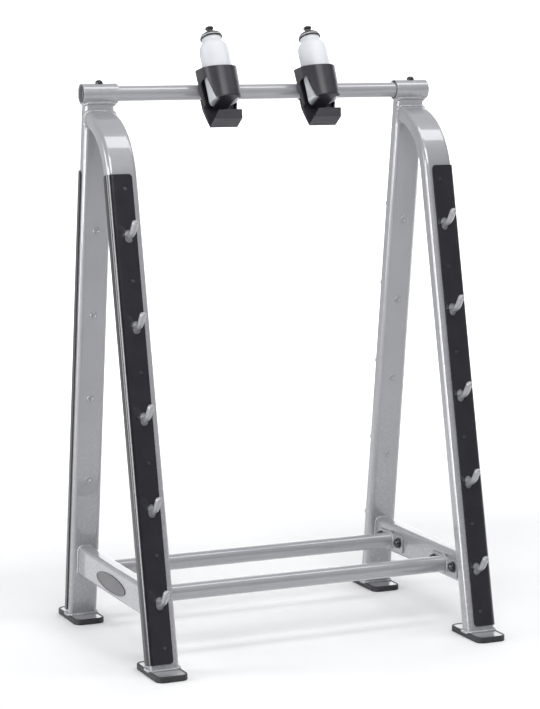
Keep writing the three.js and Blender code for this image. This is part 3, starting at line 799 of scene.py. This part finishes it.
def set_screws():
    for sname, side in SIDE.items():
        pl = basis((side * SCREW_X[sname], ROD_Y, ROD_Z), (1, 0, 0), (0, 1, 0), (0, 0, 1))
        prof = [(0, 19.6), (3.9, 19.6), (3.9, 24.6), (9.2, 24.6), (9.5, 25.0), (9.5, 26.4), (9.3, 27.6)]
        prof += [(9.3 * math.cos(a) + 0.0, 27.6 + 6.0 * math.sin(a)) for a in np.linspace(0.15, 1.08, 9)] + [(4.2, 33.3), (0, 33.3)]
        s = lathe(prof, 48, pl)
        hexa = prism(circle(3.0, 6, turn=0.3), 12, (side * SCREW_X[sname], ROD_Y, ROD_Z + 29.6))
        s = bevelled(cut(s, hexa), 0.25, 2, 45)
        piece(f"button_screw_{sname}", s, M["screw"], "rack", [f"socket_screw_{sname}"], 40)


def badge():
    x = -FRAME_X - TUBE_T / 2 - GAP
    el = lambda a, b: [(4.8 + a * math.cos(t), 155 + b * math.sin(t)) for t in np.linspace(0, 2 * math.pi, 97)[:-1]]
    rows = [(100.9, 21.9, 0.0), (101.5, 22.5, 0.4), (101.5, 22.5, 1.3), (101.1, 22.1, 1.8), (100.3, 21.3, 2.0), (98.0, 19.2, 2.0), (97.3, 18.5, 1.75),
            (96.9, 18.1, 1.25), (60.0, 9.0, 1.3), (20.0, 3.0, 1.3)]
    rings = [placed(el(a, b), (x - h, 0, 0), (0, 1, 0), (0, 0, 1)) for a, b, h in rows]
    piece("badge_blank", loft(rings), M["badge"], "rack", ["badge_plate"], 40)


# ---------------------------------------------------------------- bottle holders

CUP_HALF, CUP_BACK, CUP_FC, CUP_T, CUP_RIM, CUP_FALL, CUP_FLOOR = 45.5, 24.4, 69.0, 3.0, 46.0, 0.31, -62.0
BOTTLE_F, BOTTLE_R, BOTTLE_Z0 = 65.2, 37.0, -58.6


def local(xc):
    c, s = math.cos(TILT), math.sin(TILT)

    def place(v):
        """Local (x across, y = -forward, z up the cup) to the row frame."""
        x, y, z = v[:, 0], v[:, 1], v[:, 2]
        return np.stack([xc + x, ROD_Y + y * c + z * s, ROD_Z - y * s + z * c], 1)
    return place


def moved(me, place):
    v = np.array([p.co for p in me.vertices], float) / MM
    w = place(v) * MM
    me.vertices.foreach_set("co", w.astype(np.float32).ravel())
    me.update()
    return me


def cup_plan(inset, n=44):
    h, back = CUP_HALF - inset, -CUP_BACK - inset
    r = max(7 - inset, 3)
    return (arc(h - r, back - r, r, 0, math.pi / 2, 6) + arc(-h + r, back - r, r, math.pi / 2, math.pi, 6) + arc(0, -CUP_FC, h, math.pi, 2 * math.pi, n))


def cup_ring(inset, z, z_taper=None):
    p = np.array(cup_plan(inset))
    k = 1 - 0.0005 * (CUP_RIM - (z if z_taper is None else z_taper))
    x, y = p[:, 0] * k, -CUP_BACK + (p[:, 1] + CUP_BACK) * k
    return np.stack([x, y, np.full(len(p), float(z))], 1)


def side_cut(pts, half, r=0.0, n=5):
    pts = round_poly(pts, r, n) if (hasattr(r, "__len__") or r) else pts
    return prism([(-f, a) for f, a in pts], 2 * half, (-half, 0, 0), (0, 1, 0), (0, 0, 1))


def frontal(pts):
    return prism(pts, 200, (0, 50, 0), (1, 0, 0), (0, 0, 1))


def holder(sname):
    xc = HOLDER_X[sname]
    top = CUP_RIM + 4
    # outer skin, its foot rolled in; inside drawn to one wall
    z0 = CUP_FLOOR
    lows = [(3.2, z0), (1.9, z0 + 0.25), (0.8, z0 + 1.0), (0.2, z0 + 2.2), (0, z0 + 3.6)]
    outer = loft([cup_ring(i, z) for i, z in lows] + [cup_ring(0, z) for z in np.linspace(z0 + 3.6, top, 14)[1:]])
    inner = loft([cup_ring(CUP_T, z) for z in np.linspace(z0 + CUP_T, top + 6, 14)])
    wall = cut(outer, inner)
    rim = side_cut([(0, CUP_RIM + 2.5), (CUP_BACK - 1, CUP_RIM - 3), (CUP_BACK + 6, CUP_RIM - 1.9),
                    (150, CUP_RIM - CUP_FALL * (150 - CUP_BACK)), (150, 200), (0, 200)], 60)
    wall = cut(wall, rim)
    # the rim's back corners are rounded off
    for s in (-1, 1):
        q = [(s * 60, CUP_RIM + 12), (s * 36.5, CUP_RIM + 12), (s * 36.5, CUP_RIM + 0.4)] + \
            [(s * (36.5 + 9.6 * math.sin(a)), CUP_RIM - 9.0 + 9.4 * math.cos(a)) for a in np.linspace(0, math.pi / 2, 9)] + [(s * 60, CUP_RIM - 9.0)]
        c = prism(q if s < 0 else q[::-1], 9.0, (0, -CUP_BACK + 1, 0), (1, 0, 0), (0, 0, 1))
        wall = cut(wall, c)
    # slots on both sides; the floor is a strip to the rear wall and the closed front end
    slot = round_poly([(43, -90), (43, 2.2), (84.4, 2.2), (84.6, -8), (94, -56), (96, -90)], [0, 7, 6, 3, 0, 0], 8)
    wall = cut(wall, prism([(-f, a) for f, a in slot], 120, (-60, 0, 0), (0, 1, 0), (0, 0, 1)))
    wall = cut(wall, prism([(-60, -CUP_BACK - CUP_T), (-60, -93), (60, -93), (60, -CUP_BACK - CUP_T)][::-1], 6, (0, 0, CUP_FLOOR - 2)))
    base = loft([cup_ring(i, z) for i, z in lows[:-1]] + [cup_ring(0.02, z) for z in (z0 + 3.2,)])
    strip = round_poly([(-20, -CUP_BACK + 1), (-20, -86), (-26, -94), (-60, -98), (-60, -140), (60, -140), (60, -98), (26, -94), (20, -86), (20, -CUP_BACK + 1)],
                       [0, 6, 6, 0, 0, 0, 0, 6, 6, 0], 6)
    wall = add(wall, keep(base, prism(strip, 30, (0, 0, CUP_FLOOR - 10))))
    # back plate carried down and folded forward as a hook for a towel, corners eased
    spine = round_poly([(CUP_BACK, -36), (CUP_BACK, -62), (25.6, -84), (29.4, -112.6), (73, -107), (92.5, -93.8),
                        (90.7, -91.1), (72.2, -103.6), (32.8, -109.2), (28.8, -83.6), (CUP_BACK + 3.2, -60), (CUP_BACK + 3.2, -36)],
                       [0, 40, 60, 3.4, 12, 1.2, 1.2, 9, 1.6, 60, 40, 0], 7)
    outline = round_poly([(-44.6, -36), (-44.6, -62), (-36, -108), (-36, -125), (36, -125), (36, -108), (44.6, -62), (44.6, -36)], [0, 30, 8, 0, 0, 8, 30, 0], 6)
    plan = round_poly([(-60, 0), (-60, -33), (-36, -34), (-36, -72), (-28.5, -96), (28.5, -96), (36, -72), (36, -34), (60, -33), (60, 0)],
                      [0, 0, 0, 9, 6, 6, 9, 0, 0, 0], 6)
    flap = keep(side_cut(spine, 60), frontal(outline), prism(plan, 300, (0, 0, -200)))
    body = add(wall, flap)
    # side flanges narrow away below the cup
    cheek = round_poly([(CUP_BACK, -45), (43, -45), (43, -52), (34, -62), (30.2, -100), (29.4, -108), (26, -84), (CUP_BACK, -62)],
                       [0, 0, 9, 14, 4, 0, 0, 0], 6)
    for s in (-1, 1):
        band = [(s * 42.4, -44), (s * 44.5, -62), (s * 36.0, -108), (s * 33.0, -108), (s * 41.2, -62), (s * 39.4, -44)]
        body = add(body, keep(side_cut(cheek, 60), frontal(band if s < 0 else band[::-1])))
    # bearing rings that turn on the rod
    for s in (-1, 1):
        x0 = -26.0 if s < 0 else 14.0
        ring = bar_x(circle(23.6, 48), x0, x0 + 12, 0, 0)
        web = prism(round_poly([(15, 0), (15, -CUP_BACK - 1.5), (-15, -CUP_BACK - 1.5), (-15, 0)], 0), 1, (0, 0, 0))
        web = prism([(-0.0, -15), (-CUP_BACK - 1.5, -15), (-CUP_BACK - 1.5, 15), (0.0, 15)], 12, (x0, 0, 0), (0, 1, 0), (0, 0, 1))
        body = add(body, ring, web)
    body = cut(body, bar_x(circle(19.45, 60), -60, 60, 0, 0))
    body = bevelled(body, 0.75, 3, 42)
    piece(f"cup_{sname}", moved(body, local(xc)), M["holder"], f"holder_{sname}", [f"bottle_holder_{sname}"], 42)

    # split collar
    col = bar_x(circle(23.8, 60), -13.4, 13.4, 0, 0)
    col = cut(col, bar_x(circle(19.4, 60), -40, 40, 0, 0), prism([(15, -1.2), (40, -1.2), (40, 1.2), (15, 1.2)], 120, (-60, 0, 0), (0, 1, 0), (0, 0, 1)))
    col = bevelled(col, 0.6, 3, 40)
    piece(f"collar_{sname}", moved(col, local(xc)), M["holder"], f"collar_{sname}", [f"holder_collar_{sname}"], 42)

    # bottle, cap and spout
    r = BOTTLE_R
    ax = lambda v: local(xc)(v + np.array([0, -BOTTLE_F, 0]))

    def curve(points, n=8):
        """Smooth line through the profile's points."""
        p = np.array(points, float)
        out = []
        for i in range(len(p) - 1):
            a, b, c, d = p[max(i - 1, 0)], p[i], p[i + 1], p[min(i + 2, len(p) - 1)]
            for k in range(n):
                t = k / n
                out.append(0.5 * ((2 * b) + (c - a) * t + (2 * a - 5 * b + 4 * c - d) * t * t + (3 * b - a - 3 * c + d) * t ** 3))
        out.append(p[-1])
        return [tuple(q) for q in out]
    z0 = BOTTLE_Z0
    outside = [(0, z0 + 2.6), (22, z0 + 2.4), (27, z0 + 1.2), (30.0, z0)] + curve([(32.5, z0), (35.6, z0 + 1.3), (36.8, z0 + 4.4), (37, z0 + 8)], 4) + \
        [(37, z0 + 20), (37, z0 + 40), (37, 20.0), (37, 40.0)] + curve([(37, 58), (37.2, 72), (36.7, 83), (34.4, 91), (30.0, 98), (25.7, 103.5), (24.6, 107.5), (24.6, 112.4)], 7) + \
        [(24.5, 113.3), (23.9, 113.75), (23.4, 113.8)]
    inside = [(22.9, 113.7), (22.6, 113.3), (22.6, 108)] + curve([(22.9, 104.3), (27, 98.3), (32, 90.6), (34.8, 82.3), (35.3, 72), (35.2, 40)], 5) + \
        [(35.2, z0 + 9), (33.5, z0 + 5.2), (30, z0 + 4.0), (0, z0 + 4.4)]
    piece(f"flask_{sname}", lathe(outside + inside, 72, ax), M["frosted"], f"bottle_{sname}", [f"bottle_{sname}"], 35)

    # cap: plug inside the neck, flange on its rim, dome and stem
    lid = [(19.8, 100.4), (20.2, 100), (21.3, 100), (21.7, 100.4), (21.7, 106), (21.7, 113.8), (22.1, 114.2), (26.6, 114.2), (27.8, 114.5), (28.2, 115.2),
           (28.2, 116.6), (27.8, 117.2), (26.4, 117.4), (26.2, 117.6), (26.2, 119.8), (26.8, 120.0), (27.2, 120.5), (27.0, 121.1)] + \
        curve([(26.5, 121.8), (24.6, 124.6), (21.0, 127.0), (16.6, 129.6), (12.4, 131.0), (10.8, 131.6)], 5) + \
        [(10.4, 132.2), (10.4, 133.6), (10.0, 134), (8.6, 134), (8.5, 133.7), (8.5, 128), (5, 128), (5, 139.4), (4.4, 140), (0, 140), (0, 112.6),
         (19.8, 112.6), (19.8, 100.4)]
    piece(f"lid_{sname}", lathe(lid, 72, ax), M["lid"], f"cap_{sname}", [f"bottle_cap_{sname}"], 38)
    band = [(26.3, 117.6), (27.0, 117.7), (27.3, 118.1), (27.3, 119.3), (27.0, 119.7), (26.3, 119.8), (26.3, 117.6)]
    piece(f"lid_band_{sname}", lathe(band, 72, ax), M["frosted"], f"cap_{sname}", (), 38, False)

    sp = [(5.6, 128.4), (7.8, 128.4)] + curve([(7.8, 130), (7.2, 133), (7.0, 136.0), (7.6, 138.6), (9.6, 140.0), (10.4, 140.8)], 4) + \
        [(10.6, 141.6), (10.6, 143.6), (10.2, 144.6), (9.2, 145.5), (7.6, 146.0), (3.2, 146.0), (2.4, 145.6), (2.2, 145.0), (2.2, 141), (5.6, 140.6), (5.6, 128.4)]
    piece(f"nozzle_{sname}", lathe(sp, 48, ax), M["lid"], f"spout_{sname}", [f"bottle_spout_{sname}"], 38)


frames_and_welds()
cross_tubes()
feet()
guards()
hooks()
rods()
caps()
set_screws()
badge()
for side_name in SIDE:
    holder(side_name)

# ---------------------------------------------------------------- studio


def area(name, loc, target, size, power, col=(1, 1, 1), size_y=None, spread=180):
    d = bpy.data.lights.new(name, "AREA")
    d.shape, d.size, d.size_y = "RECTANGLE", size, size_y or size
    d.energy, d.color, d.spread = power, col, math.radians(spread)
    o = bpy.data.objects.new(name, d)
    bpy.context.scene.collection.objects.link(o)
    z = np.array(loc, float) - np.array(target, float)
    z /= np.linalg.norm(z)
    up = np.array([0, 0, 1.0]) if abs(z[2]) < 0.95 else np.array([0, 1.0, 0])
    x = np.cross(up, z)
    x /= np.linalg.norm(x)
    y = np.cross(z, x)
    m = Matrix.Identity(4)
    for i in range(3):
        m[i][0], m[i][1], m[i][2], m[i][3] = x[i], y[i], z[i], loc[i]
    o.matrix_world = m
    return o


area("over", (0.85, -0.60, 3.25), (0.85, -0.60, 0), 2.8, 24, size_y=0.80)
area("front_top", (-0.85, -3.6, 3.9), (0, 0, 0.8), 2.8, 106, size_y=2.0)
area("strip_left", (-3.3, 0.75, 1.25), (0, 0, 0.8), 1.1, 44, size_y=2.4)
sheen = area("sheen_left", (-3.4, -1.25, 1.25), (0, 0, 0.9), 1.3, 84, size_y=2.4)
sheen.visible_diffuse = False
area("strip_right", (3.2, 1.8, 1.2), (0, 0, 0.8), 0.80, 16, size_y=2.5)

world = bpy.data.worlds.new("studio")
bpy.context.scene.world = world
world.use_nodes = True
wt = world.node_tree
wb = wt.nodes["Background"]
wc = wt.nodes.new("ShaderNodeTexCoord")
wx = wt.nodes.new("ShaderNodeSeparateXYZ")
wt.links.new(wc.outputs["Generated"], wx.inputs[0])


def wmath(op, a, b=None):
    n = wt.nodes.new("ShaderNodeMath")
    n.operation = op
    for sock, v in zip(n.inputs, (a, b)):
        if isinstance(v, (int, float)):
            sock.default_value = v
        elif v is not None:
            wt.links.new(v, sock)
    return n.outputs[0]


# bright behind and above, dim in front and darkest on the front left
level = wmath("ADD", 0.28, wmath("MULTIPLY", wmath("MAXIMUM", wx.outputs["Y"], 0.0), 0.42))
toward = wmath("ADD", wmath("MULTIPLY", wx.outputs["X"], -0.7071), wmath("MULTIPLY", wx.outputs["Y"], -0.7071))
shade = wmath("MULTIPLY", wmath("MINIMUM", wmath("MAXIMUM", wmath("MULTIPLY", wmath("SUBTRACT", toward, 0.72), 4.5), 0.0), 1.0), 0.23)
level = wmath("SUBTRACT", level, shade)
above = wmath("MINIMUM", wmath("MAXIMUM", wmath("MULTIPLY", wmath("SUBTRACT", wx.outputs["Z"], 0.45), 2.2), 0.0), 1.0)
level = wmath("ADD", level, wmath("MULTIPLY", above, 0.30))
wt.links.new(level, wb.inputs["Strength"])
wb.inputs["Color"].default_value = (0.965, 0.975, 1.0, 1)

# floor, far larger than the view, running up into a soft sweep behind
pts = [(-9 + k, 0) for k in range(14)] + [(5.0 + 1.6 * math.sin(a), 1.6 - 1.6 * math.cos(a)) for a in np.linspace(0, math.pi / 2, 14)[1:]] + [(6.6, 7.0)]
fv, ff = [], []
for y, z in pts:
    fv += [(-11, y, z), (11, y, z)]
for i in range(len(pts) - 1):
    ff.append((2 * i, 2 * i + 1, 2 * i + 3, 2 * i + 2))
fm = bpy.data.meshes.new("floor")
fm.from_pydata(fv, [], ff)
fm.shade_smooth()
floor = bpy.data.objects.new("floor", fm)
bpy.context.scene.collection.objects.link(floor)
fn = Nodes("floor_paper")
fn.set(Roughness=0.9)
fn.p.inputs["Specular IOR Level"].default_value = 0.1
fn.link(fn.ramp(fn.noise(1.3, 2, 0.5), [(0.3, (0.93, 0.93, 0.93)), (0.7, (0.95, 0.95, 0.95))]), fn.p.inputs["Base Color"])
fx = fn.t.nodes.new("ShaderNodeSeparateXYZ")
fn.link(fn.co, fx.inputs[0])
# painted light: the paper glows by its own emission, from none near the rack to strong behind and to the sides
fn.p.inputs["Emission Color"].default_value = (1, 1, 1, 1)
glow = fn.math("MAXIMUM", fn.range(fx.outputs["Y"], 0.8, 3.4, 0.0, 0.85), fn.range(fn.math("ABSOLUTE", fx.outputs["X"]), 1.4, 4.0, 0.0, 0.5))
# painted shade: the paper's glow is turned down on the far left
left = fn.math("ADD", fn.math("SUBTRACT", fx.outputs["X"], fn.math("MULTIPLY", fx.outputs["Y"], 0.3076)), 0.7)
fn.link(fn.math("MULTIPLY", glow, fn.range(left, -1.2, -0.1, 0.12, 1.0)), fn.p.inputs["Emission Strength"])
fm.materials.append(fn.mat)

# ---------------------------------------------------------------- camera
yaw, pitch, roll = math.radians(23.852), math.radians(8.015), math.radians(-0.158)
F = np.array([math.sin(yaw) * math.cos(pitch), math.cos(yaw) * math.cos(pitch), -math.sin(pitch)])
R = np.array([math.cos(yaw), -math.sin(yaw), 0])
U = np.cross(R, F)
R2, U2 = R * math.cos(roll) + U * math.sin(roll), -R * math.sin(roll) + U * math.cos(roll)
cam_data = bpy.data.cameras.new("camera")
cam_data.sensor_fit = "AUTO"
cam_data.sensor_width = 36
cam_data.lens = 2290.94 * 36 / 709
cam_data.clip_end = 60
cam = bpy.data.objects.new("camera", cam_data)
bpy.context.scene.collection.objects.link(cam)
mw = Matrix.Identity(4)
loc = (-2.31504, -5.20104, 1.50185)
for i in range(3):
    mw[i][0], mw[i][1], mw[i][2], mw[i][3] = R2[i], U2[i], -F[i], loc[i]
cam.matrix_world = mw
bpy.context.scene.camera = cam
bpy.context.scene.view_settings.view_transform = "Standard"
